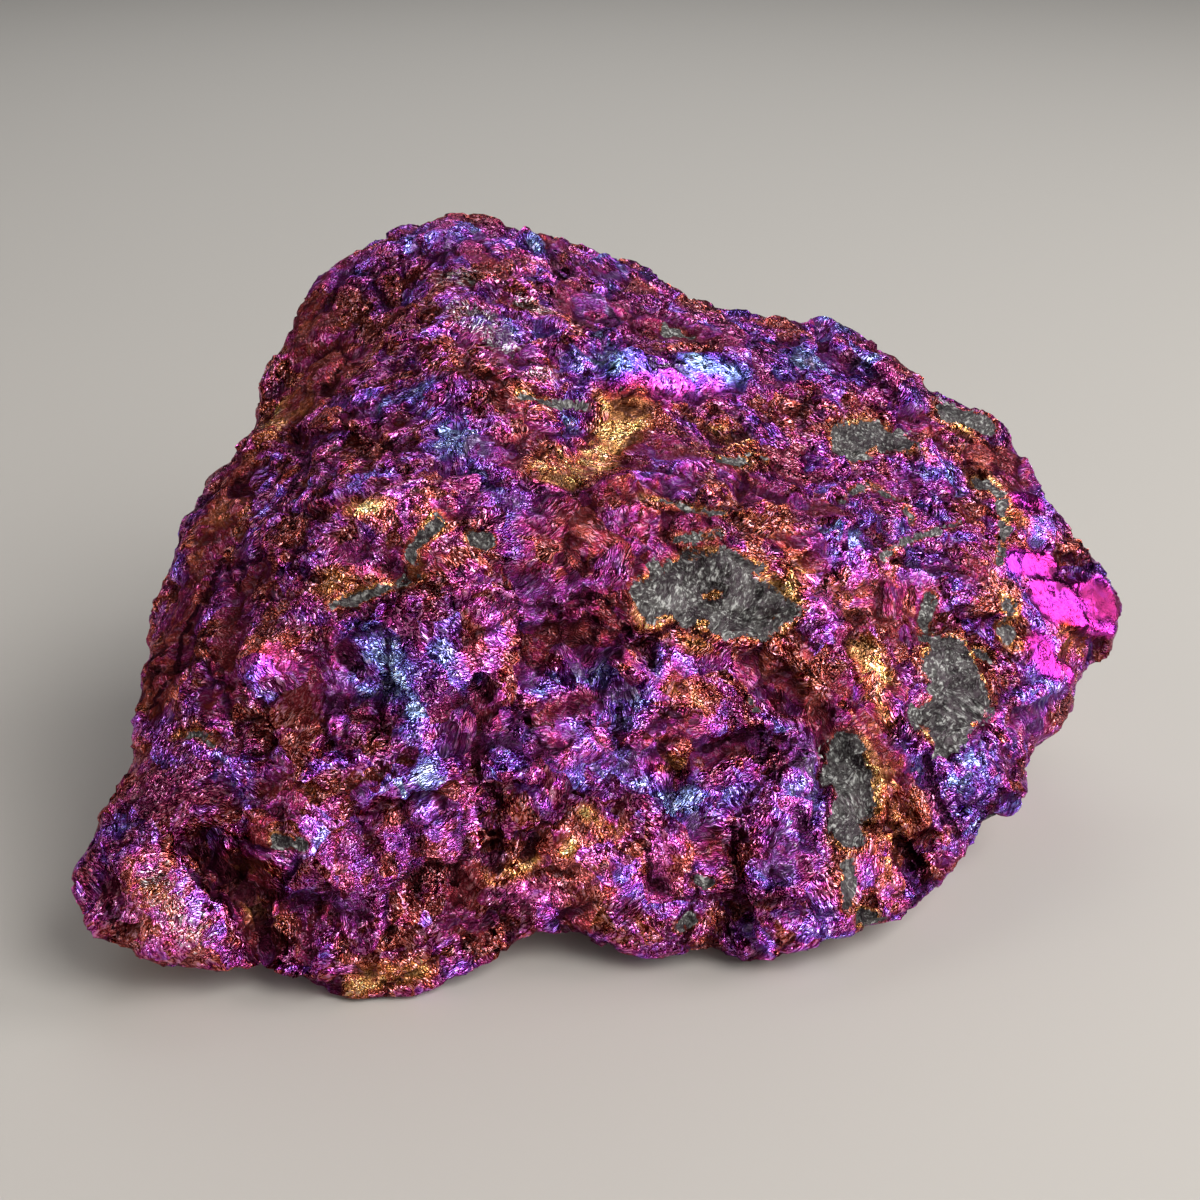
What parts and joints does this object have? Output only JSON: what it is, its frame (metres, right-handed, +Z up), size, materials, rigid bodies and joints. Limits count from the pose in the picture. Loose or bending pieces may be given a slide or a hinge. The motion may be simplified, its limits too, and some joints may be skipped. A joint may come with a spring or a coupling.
{
  "type": "peacock ore specimen",
  "caption": "Rough hand-sized lump of iridescent peacock ore with grey host rock grown through it, broken on every side and resting on its uneven base.",
  "frame": {"origin": "middle of the lump's box in plan, on the surface that it rests on", "axes": "+Z up; +X along the lump's length, from the low knobbed corner to the pointed tip; +Y away from the long tilted face, towards the crest"},
  "size_m": [0.11, 0.08, 0.061],
  "materials": {
    "tarnished_ore": "iridescent magenta, violet, blue and gold tarnish over a granular metallic surface, with dull grey host rock in patches"
  },
  "bodies": {
    "root": {"ore_lump": "tarnished_ore"}
  },
  "joints": []
}
